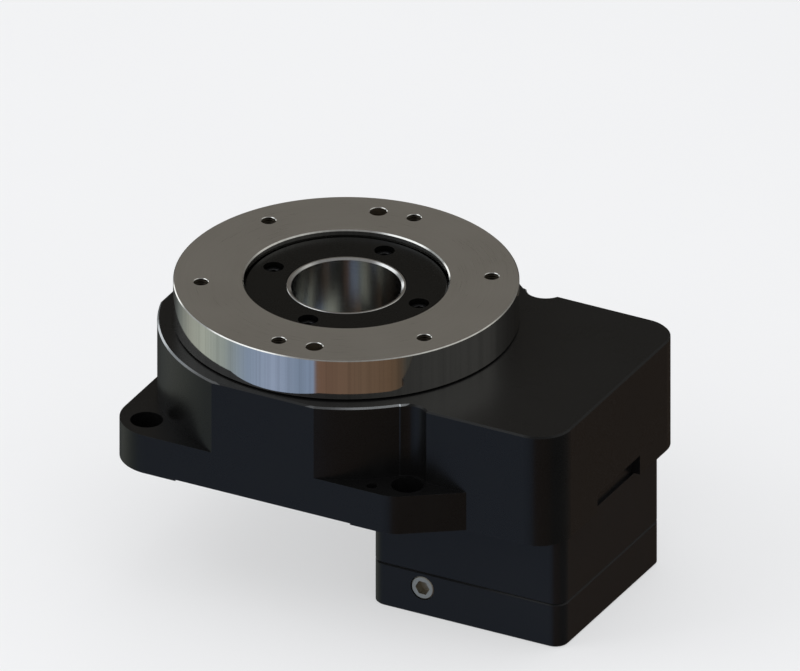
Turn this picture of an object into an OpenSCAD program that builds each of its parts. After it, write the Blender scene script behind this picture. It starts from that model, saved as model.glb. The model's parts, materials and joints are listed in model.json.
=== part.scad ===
// Hollow rotary platform: a steel table that turns on a crossed-roller bearing
// round a fixed, open centre, driven by a gear pair from a motor adapter below.
// The origin is on the table's axis, on the face that the platform stands on.
// +X points to the gearbox side, +Z points up through the table.

/* [Table] */
// Outer diameter of the turning table
table_d = 100; // [97:0.5:103]
// Height of the table, from its underside to its top face
table_h = 12.7; // [12:0.1:15]
// Running gap between the housing's top and the table's underside
table_gap = 0.3; // [0.3:0.1:1]
// Chamfer round the table's outer edges
table_chamfer = 0.4; // [0.3:0.1:1.5]
// Circle on which the load is bolted and pinned
load_circle_d = 84; // [82:0.5:87]
// Number of tapped holes for the load
load_holes = 6; // [4:1:8]
// Drill for the load's M5 threads
load_tap_d = 4.2; // [3.3:0.1:4.2]
// Depth of the load's tapped holes
load_tap_depth = 10; // [6:0.5:10.5]
// Diameter of the two dowel holes
load_dowel_d = 5; // [4:0.5:6]
// Depth of the two dowel holes
load_dowel_depth = 8; // [5:0.5:10]

/* [Fixed centre] */
// Diameter of the free hole through the middle
bore_d = 32; // [24:0.5:33]
// Wall of the bright tube that lines the hole
tube_wall = 1.5; // [1:0.1:2.5]
// Outer diameter of the clamp ring round the tube
clamp_ring_d = 58.6; // [57:0.2:59.5]
// How far the clamp ring's face lies below the table's face
clamp_ring_drop = 2; // [1:0.1:3]
// Thickness of the clamp ring
clamp_ring_t = 4.3; // [3.8:0.1:5]
// How far outside the middle of the hub's wall the clamp ring's screws lie
clamp_screw_offset = 1.2; // [0:0.1:1.5]
// Number of screws in the clamp ring
clamp_screws = 4; // [3:1:8]
// Gap between the clamp ring and the table's bore
clamp_ring_gap = 0.4; // [0.3:0.1:0.8]
// Outer diameter of the hub's foot, inside the gear
hub_foot_d = 63; // [60:0.5:65]
// Height of the hub's foot above the housing's floor
hub_foot_h = 8; // [6:0.5:12]
// Diameter of the hub's spigot in the housing's floor
hub_spigot_d = 48; // [44:0.5:50]
// Circle of the screws that hold the hub from below
hub_screw_circle_d = 56; // [55.5:0.5:57]
// Number of screws that hold the hub
hub_screws = 4; // [4:4:4]

/* [Table bearing] */
// Outer diameter of the crossed-roller bearing
bearing_od = 72; // [71:0.5:73]
// Thickness of the bearing, from its bore to its outside
bearing_section = 8.5; // [8.2:0.1:9]
// Width of the crossed-roller bearing
bearing_w = 9; // [8:0.5:10]
// Diameter and length of each roller
roller_d = 4.2; // [3.6:0.1:4.4]
// Number of rollers, laid crosswise in turn
roller_count = 40; // [24:2:42]

/* [Gears] */
// Distance between the table's axis and the pinion's axis
centre_distance = 55.4; // [55:0.1:56.5]
// Teeth of the large gear
gear_teeth = 90; // [72:2:108]
// Teeth of the pinion
pinion_teeth = 18; // [17:1:20]
// Face width of the large gear
gear_face = 16; // [12:0.5:18]
// Pressure angle of the teeth
pressure_angle = 20; // [20:0.5:22]
// Play between the teeth along the pitch circle
backlash = 0.1; // [0.05:0.01:0.2]

/* [Housing] */
// Height of the housing above its standing face
housing_h = 35.6; // [34.5:0.1:40]
// Thickness of the housing's floor
floor_t = 8; // [7.5:0.1:10]
// Diameter of the round body under the table
round_d = 109.2; // [107:0.1:114]
// Width of the base between its front and back faces
base_w = 104; // [103:0.5:108]
// Distance from the table's axis to the flat left side
left_side = 52.4; // [52:0.1:56]
// Distance from the table's axis to the gearbox's front side
box_front = 39.3; // [37.5:0.1:41]
// Distance from the table's axis to the gearbox's back side
box_back = 40.5; // [37.5:0.1:41]
// Distance from the table's axis to the gearbox's end face
box_end = 88.5; // [88:0.1:96]
// Radius of the gearbox's upright corners
box_corner_r = 10.2; // [5:0.1:14]
// Chamfer along the housing's top edges
edge_chamfer = 0.5; // [0.3:0.1:1]
// Thickness of the base flange
flange_t = 12.3; // [9:0.1:16]
// Distance from the table's axis to the flange's left face
flange_left = 52; // [51.5:0.1:56]
// Radius of the flange's two left corners
flange_corner_r = 13.5; // [8:0.5:14]
// Radius of the two noses of the flange beside the gearbox
nose_r = 10; // [8:0.5:12]
// Distance from the table's axis to the centre of each nose
nose_x = 38.5; // [36:0.5:42]
// Angle at which each nose runs back to the gearbox
nose_slope = 35; // [25:1:45]
// Width of the relief across the standing face
relief_w = 57; // [40:1:64]
// Depth of the relief across the standing face
relief_depth = 0.4; // [0.2:0.1:0.8]
// Width of the notch in the end face
notch_w = 26.4; // [15:0.1:40]
// Height of the notch in the end face
notch_h = 6.3; // [3:0.1:9]
// Depth of the notch in the end face
notch_depth = 2.8; // [1:0.1:4]

/* [Fixing holes] */
// Spacing of the four fixing holes along the gearbox
fixing_spacing_x = 85; // [84:0.5:88]
// Spacing of the four fixing holes across the gearbox
fixing_spacing_y = 86; // [84:0.5:88]
// Through hole for each fixing screw
fixing_hole_d = 5.5; // [4.5:0.1:6.6]
// Diameter of the recess for each fixing screw's head
fixing_head_d = 9.6; // [9:0.1:10.5]
// Depth of the recess for each fixing screw's head
fixing_head_depth = 5.4; // [2:0.1:6]
// Diameter of the upright scallop that clears a hex key beside the gearbox
key_scallop_d = 11.2; // [10.6:0.2:13]
// Tapped hole on the front right nose, for a sensor bracket
sensor_tap_d = 3.3; // [2.5:0.1:4.2]
// Distance of that hole from the table's axis, along the base
sensor_tap_x = 33.6; // [31:0.2:35]
// Distance of that hole from the front face
sensor_tap_inset = 3.8; // [3:0.1:5]

/* [Motor adapter] */
// Side of the square adapter
adapter_w = 62.3; // [60:0.1:66]
// Radius of the adapter's upright corners
adapter_corner_r = 4.2; // [2:0.1:6]
// Height of the upper block, which holds the pinion's bearings
adapter_body_h = 22.6; // [22.4:0.1:28]
// Height of the lower plate, which takes the motor
adapter_plate_h = 13.8; // [12.5:0.1:18]
// Chamfer along the adapter's seams
seam_chamfer = 0.4; // [0.2:0.1:0.8]
// Diameter of the spigot that centres the adapter in the housing
spigot_d = 44; // [43:0.2:45]
// Diameter of the motor's pilot
pilot_d = 50; // [46:0.5:50]
// Depth of the motor's pilot recess
pilot_depth = 3; // [2:0.1:3.4]
// Circle of the motor's screws
motor_circle_d = 70; // [68:0.5:72]
// Drill for the motor's M5 threads
motor_tap_d = 4.2; // [3.3:0.1:4.2]
// Motor shaft diameter
motor_shaft_d = 14; // [11:0.5:14.5]
// Diameter of the access plug in the lower plate
plug_d = 7.6; // [6:0.1:8.4]
// Length of the access plug
plug_length = 6; // [4:0.5:7]
// Width across flats of the plug's hex socket
plug_socket = 4; // [3:0.5:4.5]
// Outer diameter of the clamp collar on the pinion shaft
collar_d = 38; // [37:0.5:40]
// Width of the clamp collar
collar_w = 10; // [9:0.5:10.5]
// Distance from the pinion's axis to the clamp screw
collar_screw_offset = 14.3; // [14:0.1:14.8]

/* [Pinion bearings] */
// Bore of the two ball bearings, and the pinion shaft's diameter
ball_bearing_bore = 20; // [19:0.5:20.5]
// Outer diameter of the two ball bearings
ball_bearing_od = 37; // [36:0.5:37.5]
// Width of each ball bearing
ball_bearing_w = 9; // [8:0.5:9.5]
// Distance kept between the two ball bearings
ball_bearing_gap = 2; // [1:0.5:3]
// Diameter of the balls
ball_d = 4.8; // [4:0.1:5]
// Number of balls in each bearing
ball_count = 11; // [7:1:13]

/* [Hidden] */
$fn = 96;

// Clearances: a close fit that still turns, a located fit, and a cut's overrun
run_fit = 0.05;
seat_fit = 0.02;
over = 1;

// Heights of the table and of what is stacked inside it
table_z = housing_h + table_gap;
table_top = table_z + table_h;
clamp_ring_top = table_top - clamp_ring_drop;
bearing_top = clamp_ring_top - clamp_ring_t;
bearing_z = bearing_top - bearing_w;
bearing_mid = bearing_top - bearing_w / 2;
hub_top = bearing_top - 0.3;
table_relief = 0.6;
table_foot_chamfer = 0.2;

// Radii round the table's axis
tube_r = bore_d / 2 + tube_wall;
clamp_ring_r = clamp_ring_d / 2;
table_bore_r = clamp_ring_r + clamp_ring_gap;
bearing_bore_r = bearing_od / 2 - bearing_section;
clamp_screw_r = (tube_r + bearing_bore_r) / 2 + clamp_screw_offset;
pitch_circle_r = bearing_bore_r + bearing_section / 2;
ring_half_gap = 0.35;
hub_shoulder_r = pitch_circle_r - ring_half_gap - 2.1;
roller_spacing = 2 * pitch_circle_r * sin(180 / roller_count);
spacer_t = 0.45 * (roller_spacing - roller_d);
shoulder_w = 3;
shoulder_r = bearing_od / 2 - shoulder_w;

// The gear pair: pitch radii share the centre distance by the tooth counts
gear_pitch_r = centre_distance * gear_teeth / (gear_teeth + pinion_teeth);
pinion_pitch_r = centre_distance - gear_pitch_r;
tooth_module = 2 * gear_pitch_r / gear_teeth;
addendum = tooth_module;
dedendum = 1.25 * tooth_module;
gear_tip_r = gear_pitch_r + addendum;
gear_root_r = gear_pitch_r - dedendum;
pinion_tip_r = pinion_pitch_r + addendum;
pinion_root_r = pinion_pitch_r - dedendum;
gear_z = floor_t + 2;
gear_bore_r = hub_foot_d / 2 + 1.5;
gear_neck_r = gear_root_r - 1.5;
gear_screw_circle_r = (shoulder_r + gear_neck_r) / 2 + 1.7;
gear_screw_d = 4;
gear_screw_count = 6;
gear_screw_reach = 7;
gear_screw_grip = 13;
cavity_r = gear_tip_r + 1;
pinion_over = 0.6;
pinion_cavity_r = pinion_tip_r + 2;
pinion_cavity_top = gear_z + gear_face + 5;

// The adapter and the pinion's shaft, measured down from the standing face
adapter_bottom = -adapter_body_h - adapter_plate_h;
spigot_top = floor_t;
spigot_lip = 2;
upper_race_z = spigot_top - spigot_lip - ball_bearing_w;
lower_race_z = upper_race_z - ball_bearing_gap - ball_bearing_w;
circlip_t = 1.2;
seal_t = 4.8;
circlip_z = lower_race_z - circlip_t - 0.2;
seal_z = circlip_z - seal_t - 0.2;
bearing_bore_z = seal_z - 1;
shaft_r = ball_bearing_bore / 2;
race_bore_r = ball_bearing_od / 2;
ball_circle_r = (shaft_r + race_bore_r) / 2;
ball_track_r = 0.52 * ball_d;
race_land = 0.45;
shaft_bottom = adapter_bottom + pilot_depth + 0.5;
motor_bore_top = upper_race_z - 2.5;
collar_mid = -adapter_body_h - (adapter_plate_h - pilot_depth) / 2 + 0.4;
collar_cavity_r = collar_d / 2 + 2;
plug_x = centre_distance - collar_screw_offset;
collar_screw_d = 4;
collar_screw_length = 14;
collar_screw_seat = 4.5;
collar_gap = 2;

// Screws that hold the fixed parts together
hub_screw_d = 4;
hub_screw_length = 10;
hub_tap_depth = 7;
clamp_ring_screw_d = 3;
clamp_ring_screw_length = 8;
clamp_ring_tap_depth = 9;
body_screw_d = 5;
body_screw_seat = 8;
body_screw_reach = floor_t - 2;
body_screw_spread = 24;
plate_screw_d = 3;
plate_screw_seat = 5;
plate_screw_reach = 6;
plate_tap_depth = 8;
plate_screw_x = adapter_w / 2 - 4.5;
plate_screw_y = 13;
head_room = 0.4;

// O-rings: how deep their grooves are, and the height of each groove's middle
groove_depth = 1.5;
groove_h = 2;
hub_groove_z = floor_t - 2;
adapter_groove_z = floor_t / 2;
hub_groove_r = hub_spigot_d / 2 - groove_depth / 2 + 0.01;
adapter_groove_r = spigot_d / 2 + groove_depth / 2;

// The step that holds the dust seal under the clamp ring
seal_step = 1.2;
seal_step_h = 2;
dust_seal_h = 1.3;

function head_d(d) = 1.5 * d + 1;
function tap_r(d) = d / 2 + run_fit;
function clear_r(d) = 0.55 * d;
function recess_r(d) = head_d(d) / 2 + 0.25;
function recess_h(d) = d + head_room;

// ---- shared shapes ----

module ring(outer_r, inner_r, z0, z1) {
    translate([0, 0, z0]) difference() {
        cylinder(r = outer_r, h = z1 - z0);
        translate([0, 0, -over]) cylinder(r = inner_r, h = z1 - z0 + 2 * over);
    }
}

module hole(r, z0, z1) translate([0, 0, z0]) cylinder(r = r, h = z1 - z0);

// A chamfer of the given depth round the rim of a hole that opens upward at z
module rim_chamfer(r, z, depth)
    translate([0, 0, z - depth]) cylinder(r1 = r, r2 = r + depth + over, h = depth + over);

module around(count, r, start = 0)
    for (i = [0 : count - 1]) rotate(start + i * 360 / count) translate([r, 0, 0]) children();

module at_corners(dx, dy)
    for (x = [-dx, dx], y = [-dy, dy]) translate([x, y, 0]) children();

module on_pinion_axis() translate([centre_distance, 0, 0]) children();

// A socket head screw: the head's seat is at z = 0, the shank points down
module cap_screw(d, length, low_head = false) {
    head_h = low_head ? 0.65 * d : d;
    socket_z = low_head ? 0.25 * d : 0.45 * d;
    socket_w = 0.8 * d;
    rim = 0.15 * d;
    difference() {
        union() {
            cylinder(d = head_d(d), h = head_h - rim);
            translate([0, 0, head_h - rim]) cylinder(d1 = head_d(d), d2 = head_d(d) - 2 * rim, h = rim);
            translate([0, 0, -length]) cylinder(d = d, h = length);
        }
        translate([0, 0, socket_z]) cylinder(d = socket_w / cos(30), h = d, $fn = 6);
    }
}

// The same screw pushed up from below
module cap_screw_up(d, length) mirror([0, 0, 1]) cap_screw(d, length);

// A hole for a screw pushed up from below: head recess, clearance, and tapped end
module screw_hole_up(d, seat_z, open_z, end_z) {
    hole(recess_r(d), open_z, seat_z);
    hole(clear_r(d), seat_z - over, end_z);
}

// An O-ring and its groove, which has its middle at radius r and height z
module o_ring(r, z) rotate_extrude() translate([r, z]) circle(r = 0.48 * groove_depth);

module o_ring_groove(r, z)
    rotate_extrude() translate([r, z]) square([groove_depth, groove_h], center = true);

// A straight-sided block with round upright corners and chamfered edges
module block(x0, x1, y0, y1, z0, z1, r, low, high) {
    w = y1 - y0;
    l = x1 - x0;
    translate([x0 + r, 0, 0]) rotate([90, 0, 90]) linear_extrude(l - 2 * r) polygon([
        [y0 + low, z0], [y1 - low, z0], [y1, z0 + low], [y1, z1 - high],
        [y1 - high, z1], [y0 + high, z1], [y0, z1 - high], [y0, z0 + low]]);
    translate([0, y1 - r, 0]) rotate([90, 0, 0]) linear_extrude(w - 2 * r) polygon([
        [x0 + low, z0], [x1 - low, z0], [x1, z0 + low], [x1, z1 - high],
        [x1 - high, z1], [x0 + high, z1], [x0, z1 - high], [x0, z0 + low]]);
    for (x = [x0 + r, x1 - r], y = [y0 + r, y1 - r]) translate([x, y, 0]) disc(r, z0, z1, low, high);
}

// A round plate with chamfered rims
module disc(r, z0, z1, low, high)
    rotate_extrude() polygon([
        [0, z0], [r - low, z0], [r, z0 + low], [r, z1 - high], [r - high, z1], [0, z1]]);

// ---- involute teeth ----

function turned(r, a) = [r * cos(a), r * sin(a)];
function involute(a) = tan(a) * 180 / PI - a;
// Half the angle that a tooth fills at radius r
function tooth_half(r, pitch_r, teeth) =
    let (base_r = pitch_r * cos(pressure_angle), play = backlash / 4 / pitch_r * 180 / PI)
    90 / teeth - play + involute(pressure_angle) - involute(acos(min(1, base_r / r)));

module toothed(teeth, pitch_r, root_r, tip_r, steps) {
    flank_r = max(root_r, pitch_r * cos(pressure_angle));
    radii = [for (k = [0 : steps]) flank_r + (tip_r - flank_r) * k / steps];
    foot = flank_r > root_r ? [root_r] : [];
    function half(r) = tooth_half(max(r, flank_r), pitch_r, teeth);
    rising = concat(foot, radii);
    falling = [for (k = [len(rising) - 1 : -1 : 0]) rising[k]];
    polygon([for (i = [0 : teeth - 1]) each concat(
        [for (r = rising) turned(r, i * 360 / teeth - half(r))],
        [for (r = falling) turned(r, i * 360 / teeth + half(r))])]);
}

// ---- the housing ----

// The tangent point and the end of each nose, where it meets the gearbox's side
nose_y = base_w / 2 - nose_r;
nose_bite = 0.02;
nose_touch = [nose_x, nose_y] + (nose_r - nose_bite) * [sin(nose_slope), cos(nose_slope)];
function nose_end_x(side_y) = nose_touch[0] + (nose_touch[1] - side_y) / tan(nose_slope);

module round_body() intersection() {
    disc(round_d / 2, 0, housing_h, 0, edge_chamfer);
    block(-left_side, box_end, -base_w / 2, base_w / 2, 0, housing_h, edge_chamfer, 0, edge_chamfer);
}

module nose_web(side_y) polygon([
    [0, 0], [nose_end_x(side_y), 0], [nose_end_x(side_y), side_y],
    nose_touch, [nose_x, nose_y], [0, nose_y]]);

module base_flange() {
    straight = nose_x + flange_left;
    translate([-flange_left, -base_w / 2 + flange_corner_r, 0])
        cube([straight, base_w - 2 * flange_corner_r, flange_t]);
    translate([-flange_left + flange_corner_r, -base_w / 2, 0])
        cube([straight - flange_corner_r, base_w, flange_t]);
    for (side = [-1, 1]) {
        translate([-flange_left + flange_corner_r, side * (base_w / 2 - flange_corner_r), 0])
            cylinder(r = flange_corner_r, h = flange_t);
        translate([nose_x, side * nose_y, 0]) cylinder(r = nose_r, h = flange_t);
    }
    linear_extrude(flange_t) {
        mirror([0, 1]) nose_web(box_front);
        nose_web(box_back);
    }
}

module housing() color([0.12, 0.12, 0.13]) difference() {
    union() {
        round_body();
        base_flange();
        block(0, box_end, -box_front, box_back, 0, housing_h, box_corner_r, 0, edge_chamfer);
    }
    // room for the gear and the pinion
    hole(cavity_r, floor_t, housing_h + over);
    on_pinion_axis() hole(pinion_cavity_r, floor_t - over, pinion_cavity_top);
    // seats for the hub and the adapter's spigot
    hole(hub_spigot_d / 2 + seat_fit, -over, floor_t + over);
    on_pinion_axis() {
        hole(spigot_d / 2 + seat_fit, -over, spigot_top);
        o_ring_groove(adapter_groove_r, adapter_groove_z);
    }
    around(hub_screws, hub_screw_circle_d / 2, 45)
        screw_hole_up(hub_screw_d, recess_h(hub_screw_d), -over, floor_t + over);
    on_pinion_axis() at_corners(body_screw_spread, body_screw_spread)
        hole(tap_r(body_screw_d), -over, body_screw_reach + 1);
    // fixing holes, and the scallops that let a hex key past the gearbox
    at_corners(fixing_spacing_x / 2, fixing_spacing_y / 2) {
        hole(fixing_hole_d / 2, -over, flange_t + over);
        hole(fixing_head_d / 2, flange_t - fixing_head_depth, flange_t + over);
        hole(key_scallop_d / 2, flange_t, housing_h + over);
        rim_chamfer(key_scallop_d / 2, housing_h, edge_chamfer);
    }
    translate([sensor_tap_x, -base_w / 2 + sensor_tap_inset, 0])
        hole(sensor_tap_d / 2, flange_t / 3, flange_t + over);
    // relief under the base, and the notch in the end face
    translate([-relief_w / 2, -base_w, -over]) cube([relief_w, 2 * base_w, over + relief_depth]);
    translate([box_end - notch_depth, (box_back - box_front - notch_w) / 2, -over])
        cube([notch_depth + over, notch_w, notch_h + over]);
}

// ---- the fixed centre ----

hub_waist_r = tube_r + 6.5;
hub_shoulder_h = 4;

module core_hub() color([0.16, 0.16, 0.17]) difference() {
    rotate_extrude() polygon([
        [tube_r + seat_fit, relief_depth], [hub_spigot_d / 2, relief_depth], [hub_spigot_d / 2, floor_t],
        [hub_foot_d / 2, floor_t], [hub_foot_d / 2, floor_t + hub_foot_h],
        [hub_waist_r, floor_t + hub_foot_h], [hub_waist_r, bearing_z - hub_shoulder_h],
        [hub_shoulder_r, bearing_z - hub_shoulder_h], [hub_shoulder_r, bearing_z],
        [bearing_bore_r - seat_fit, bearing_z], [bearing_bore_r - seat_fit, hub_top],
        [tube_r + seat_fit, hub_top]]);
    o_ring_groove(hub_groove_r, hub_groove_z);
    around(hub_screws, hub_screw_circle_d / 2, 45)
        hole(tap_r(hub_screw_d), floor_t - over, floor_t + hub_tap_depth);
    around(clamp_screws, clamp_screw_r)
        hole(tap_r(clamp_ring_screw_d), hub_top - clamp_ring_tap_depth, hub_top + over);
}

module hub_screws() color([0.2, 0.2, 0.2])
    around(hub_screws, hub_screw_circle_d / 2, 45)
        translate([0, 0, recess_h(hub_screw_d)]) cap_screw_up(hub_screw_d, hub_screw_length);

module hub_o_ring() color([0.08, 0.08, 0.08]) o_ring(hub_groove_r, hub_groove_z);

module core_tube() color([0.85, 0.85, 0.86]) rotate_extrude() polygon([
    [bore_d / 2, relief_depth], [tube_r, relief_depth], [tube_r, clamp_ring_top - 0.3],
    [tube_r - 0.3, clamp_ring_top], [tube_r - 0.8, clamp_ring_top], [bore_d / 2, clamp_ring_top - 0.5]]);

module clamp_ring() color([0.13, 0.13, 0.13]) difference() {
    rotate_extrude() polygon([
        [tube_r + seat_fit, bearing_top], [clamp_ring_r - seal_step, bearing_top],
        [clamp_ring_r - seal_step, bearing_top + seal_step_h], [clamp_ring_r, bearing_top + seal_step_h],
        [clamp_ring_r, clamp_ring_top - seam_chamfer], [clamp_ring_r - seam_chamfer, clamp_ring_top],
        [tube_r + seat_fit, clamp_ring_top]]);
    around(clamp_screws, clamp_screw_r) {
        hole(clear_r(clamp_ring_screw_d), bearing_top - over, clamp_ring_top);
        hole(recess_r(clamp_ring_screw_d), clamp_ring_top - recess_h(clamp_ring_screw_d),
            clamp_ring_top + over);
    }
}

module clamp_ring_screws() color([0.2, 0.2, 0.2])
    around(clamp_screws, clamp_screw_r)
        translate([0, 0, clamp_ring_top - recess_h(clamp_ring_screw_d)])
            cap_screw(clamp_ring_screw_d, clamp_ring_screw_length, low_head = true);

module dust_seal() color([0.07, 0.07, 0.07])
    ring(table_bore_r - run_fit, clamp_ring_r - seal_step + seat_fit,
        bearing_top + seal_step_h - dust_seal_h, bearing_top + seal_step_h - seat_fit);

// ---- the crossed-roller bearing ----

// The square groove that the crossed rollers run in, seen across the ring
module roller_track(play)
    rotate_extrude() translate([pitch_circle_r, bearing_mid]) rotate(45)
        square(roller_d + 2 * play, center = true);

module bearing_inner_ring() color([0.7, 0.7, 0.72]) difference() {
    ring(pitch_circle_r - ring_half_gap, bearing_bore_r, bearing_z, bearing_top);
    roller_track(run_fit);
}

module outer_half(z0, z1) difference() {
    ring(bearing_od / 2, pitch_circle_r + ring_half_gap, z0, z1);
    roller_track(run_fit);
}

module bearing_upper_ring() color([0.7, 0.7, 0.72]) outer_half(bearing_mid, bearing_top);
module bearing_lower_ring() color([0.7, 0.7, 0.72]) outer_half(bearing_z, bearing_mid);

module cross_rollers() color([0.8, 0.8, 0.82])
    for (i = [0 : roller_count - 1]) rotate(i * 360 / roller_count)
        translate([pitch_circle_r, 0, bearing_mid]) rotate([0, i % 2 == 0 ? 45 : 135, 0])
            cylinder(d = roller_d, h = roller_d - run_fit, center = true);

module roller_spacers() color([0.85, 0.82, 0.6])
    around(roller_count, pitch_circle_r, 180 / roller_count)
        translate([0, 0, bearing_mid]) rotate([0, 45, 0])
            cube([0.6 * roller_d, spacer_t, 0.6 * roller_d], center = true);

// ---- the turning table ----

pocket_r = bearing_od / 2 + seat_fit;
sink = 0.25;

module load_tap() {
    hole(load_tap_d / 2, table_top - load_tap_depth, table_top + over);
    rim_chamfer(load_tap_d / 2, table_top, sink);
}

module load_dowel_hole() {
    hole(load_dowel_d / 2, table_top - load_dowel_depth, table_top + over);
    rim_chamfer(load_dowel_d / 2, table_top, sink);
}

module table() color([0.72, 0.71, 0.69]) difference() {
    rotate_extrude() polygon([
        [table_bore_r + 0.5, table_top], [table_d / 2 - table_chamfer, table_top],
        [table_d / 2, table_top - table_chamfer], [table_d / 2, table_z + table_foot_chamfer],
        [table_d / 2 - table_foot_chamfer, table_z], [pocket_r, table_z], [pocket_r, bearing_top],
        [shoulder_r, bearing_top], [shoulder_r, bearing_top + table_relief],
        [table_bore_r, bearing_top + table_relief], [table_bore_r, table_top - 0.5]]);
    around(load_holes, load_circle_d / 2, 180 / load_holes) load_tap();
    around(2, load_circle_d / 2, 105) load_dowel_hole();
    around(gear_screw_count, gear_screw_circle_r)
        hole(tap_r(gear_screw_d), table_z - over, table_z + gear_screw_reach + 1);
}

module output_gear() color([0.62, 0.63, 0.65]) difference() {
    union() {
        translate([0, 0, gear_z]) linear_extrude(gear_face)
            toothed(gear_teeth, gear_pitch_r, gear_root_r, gear_tip_r, 3);
        hole(gear_neck_r, gear_z + gear_face - over, table_z);
    }
    hole(gear_bore_r, gear_z - over, table_z + over);
    hole(pocket_r, bearing_z, table_z + over);
    around(gear_screw_count, gear_screw_circle_r)
        screw_hole_up(gear_screw_d, table_z - gear_screw_grip, gear_z - over, table_z + over);
}

module gear_screws() color([0.2, 0.2, 0.2])
    around(gear_screw_count, gear_screw_circle_r) translate([0, 0, table_z - gear_screw_grip])
        cap_screw_up(gear_screw_d, gear_screw_grip + gear_screw_reach);

// ---- the motor adapter ----

module adapter_block(z0, z1, low, high)
    block(-adapter_w / 2, adapter_w / 2, -adapter_w / 2, adapter_w / 2, z0, z1, adapter_corner_r, low, high);

module adapter_body() color([0.11, 0.11, 0.12]) on_pinion_axis() difference() {
    union() {
        adapter_block(-adapter_body_h, 0, seam_chamfer, 0);
        hole(spigot_d / 2, -over, spigot_top);
    }
    hole(race_bore_r - 2.5, -over, spigot_top + over);
    hole(race_bore_r + seat_fit, bearing_bore_z, spigot_top - spigot_lip);
    hole(shaft_r + 1, -adapter_body_h - over, 0);
    hole(race_bore_r + 0.9, circlip_z - 0.05, circlip_z + circlip_t + 0.05);
    hole(collar_cavity_r, -adapter_body_h - over, -adapter_body_h + 1.4);
    at_corners(body_screw_spread, body_screw_spread)
        screw_hole_up(body_screw_d, -adapter_body_h + body_screw_seat, -adapter_body_h - over, over);
    at_corners(plate_screw_x, plate_screw_y)
        hole(tap_r(plate_screw_d), -adapter_body_h - over, -adapter_body_h + plate_tap_depth);
}

module adapter_o_ring() color([0.08, 0.08, 0.08])
    on_pinion_axis() o_ring(adapter_groove_r, adapter_groove_z);

module adapter_body_screws() color([0.2, 0.2, 0.2])
    on_pinion_axis() at_corners(body_screw_spread, body_screw_spread)
        translate([0, 0, -adapter_body_h + body_screw_seat])
            cap_screw_up(body_screw_d, adapter_body_h - body_screw_seat + body_screw_reach);

module adapter_plate() color([0.11, 0.11, 0.12]) on_pinion_axis() difference() {
    adapter_block(adapter_bottom, -adapter_body_h, seam_chamfer, seam_chamfer);
    hole(pilot_d / 2, adapter_bottom - over, adapter_bottom + pilot_depth);
    hole(collar_cavity_r, adapter_bottom, -adapter_body_h + over);
    around(4, motor_circle_d / 2, 45) hole(motor_tap_d / 2, adapter_bottom - over, -adapter_body_h + over);
    at_corners(plate_screw_x, plate_screw_y)
        screw_hole_up(plate_screw_d, adapter_bottom + plate_screw_seat, adapter_bottom - over,
            -adapter_body_h + over);
    translate([-collar_screw_offset, 0, collar_mid]) rotate([90, 0, 0])
        hole(plug_d / 2, 0, adapter_w / 2 + over);
}

module adapter_plate_screws() color([0.2, 0.2, 0.2])
    on_pinion_axis() at_corners(plate_screw_x, plate_screw_y)
        translate([0, 0, adapter_bottom + plate_screw_seat])
            cap_screw_up(plate_screw_d, adapter_plate_h - plate_screw_seat + plate_screw_reach);

module access_plug() color([0.78, 0.78, 0.78])
    translate([plug_x, -adapter_w / 2, collar_mid]) rotate([90, 0, 0]) difference() {
        union() {
            translate([0, 0, -plug_length]) cylinder(r = plug_d / 2 - seat_fit, h = plug_length - 0.5);
            translate([0, 0, -0.5]) cylinder(r1 = plug_d / 2 - seat_fit, r2 = plug_d / 2 - 0.5, h = 0.4);
        }
        translate([0, 0, -plug_length / 2]) cylinder(d = plug_socket / cos(30), h = plug_length, $fn = 6);
    }

// ---- the pinion's ball bearings ----

module ball_track(z)
    rotate_extrude() translate([ball_circle_r, z + ball_bearing_w / 2]) circle(r = ball_track_r);

module outer_race(z) on_pinion_axis() difference() {
    ring(race_bore_r, ball_circle_r + ball_d / 2 - 3 * race_land, z, z + ball_bearing_w);
    ball_track(z);
}

module inner_race(z) on_pinion_axis() difference() {
    ring(ball_circle_r - ball_d / 2 + 3 * race_land, shaft_r, z, z + ball_bearing_w);
    ball_track(z);
}

module balls(z, d) on_pinion_axis()
    around(ball_count, ball_circle_r) translate([0, 0, z + ball_bearing_w / 2]) sphere(d = d);

module cage(z) on_pinion_axis() difference() {
    ring(ball_circle_r + 0.6, ball_circle_r - 0.6, z + 1, z + ball_bearing_w - 1);
    around(ball_count, ball_circle_r) translate([0, 0, z + ball_bearing_w / 2]) rotate([0, 90, 0])
        cylinder(d = ball_d + 2 * run_fit, h = ball_d, center = true);
}

module upper_outer_race() color([0.72, 0.72, 0.74]) outer_race(upper_race_z);
module lower_outer_race() color([0.72, 0.72, 0.74]) outer_race(lower_race_z);
module upper_inner_race() color([0.72, 0.72, 0.74]) inner_race(upper_race_z);
module lower_inner_race() color([0.72, 0.72, 0.74]) inner_race(lower_race_z);
module upper_balls() color([0.85, 0.85, 0.87]) balls(upper_race_z, ball_d);
module lower_balls() color([0.85, 0.85, 0.87]) balls(lower_race_z, ball_d);
module upper_cage() color([0.75, 0.6, 0.35]) cage(upper_race_z);
module lower_cage() color([0.75, 0.6, 0.35]) cage(lower_race_z);

module race_spacer() color([0.6, 0.6, 0.62]) on_pinion_axis()
    ring(shaft_r + 2.2, shaft_r + seat_fit, lower_race_z + ball_bearing_w, upper_race_z);

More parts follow.
